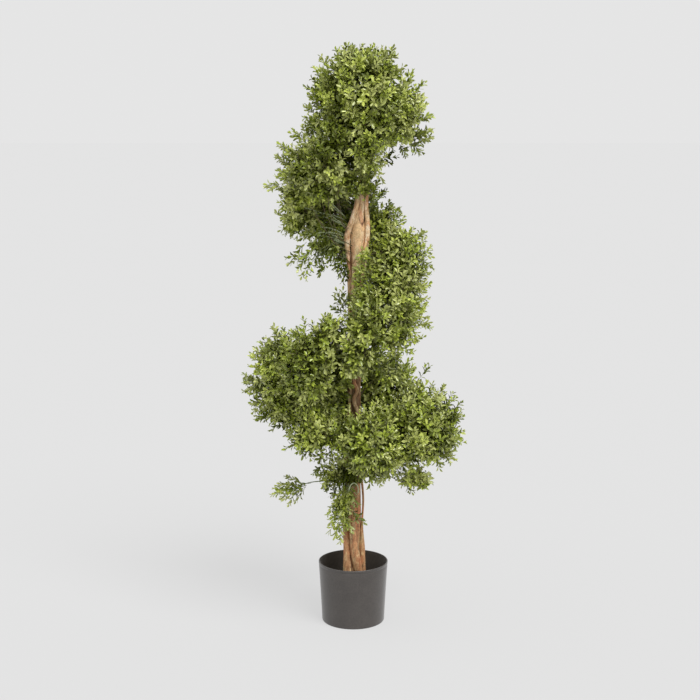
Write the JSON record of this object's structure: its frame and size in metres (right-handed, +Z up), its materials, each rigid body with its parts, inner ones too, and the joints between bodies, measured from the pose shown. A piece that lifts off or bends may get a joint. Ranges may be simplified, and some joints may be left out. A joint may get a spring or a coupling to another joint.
{
  "type": "artificial spiral topiary",
  "caption": "Artificial box tree trained as a climbing spiral round a natural wood trunk, standing in a plain round weighted pot, for indoor or patio decoration.",
  "frame": {"origin": "the middle of the pot's flat underside, which stands on the floor", "axes": "+Z up along the pot's axis; -Y the front of the tree; +X to the right seen from the front"},
  "size_m": [0.5608, 0.4334, 1.5],
  "materials": {
    "foliage": "matt olive green leaves, lighter yellow green at the tips",
    "stem": "moulded grey green plastic stems",
    "bark": "dry peeling wood bark, pale brown with dark grooves",
    "pot": "smooth dark grey moulded plastic, low sheen",
    "cement": "rough dark cement"
  },
  "bodies": {
    "root": {"cement_filling": "cement", "crown_foliage_back": "foliage", "crown_foliage_front": "foliage", "crown_foliage_left": "foliage", "crown_foliage_right": "foliage", "crown_foliage_tip": "foliage", "hanging_spray_foliage": "foliage", "hanging_spray_stem": "stem", "liana_front": "bark", "liana_left": "bark", "liana_right": "bark", "low_foliage_left": "foliage", "low_foliage_right": "foliage", "pot": "pot", "spiral_foliage_01": "foliage", "spiral_foliage_02": "foliage", "spiral_foliage_03": "foliage", "spiral_foliage_04": "foliage", "spiral_foliage_05": "foliage", "spiral_foliage_06": "foliage", "spiral_foliage_07": "foliage", "spiral_foliage_08": "foliage", "spiral_foliage_09": "foliage", "spiral_foliage_10": "foliage", "spiral_foliage_11": "foliage", "spiral_foliage_12": "foliage", "spiral_foliage_13": "foliage", "spiral_foliage_14": "foliage", "stray_spray_foliage": "foliage", "stray_spray_stem": "stem", "trunk": "bark", "upper_bough_high_stem": "stem", "upper_bough_low_stem": "stem", "upper_bough_middle_stem": "stem", "upper_foliage_under": "foliage", "upper_spray_foliage": "foliage", "upper_spray_stem": "stem"}
  },
  "joints": []
}
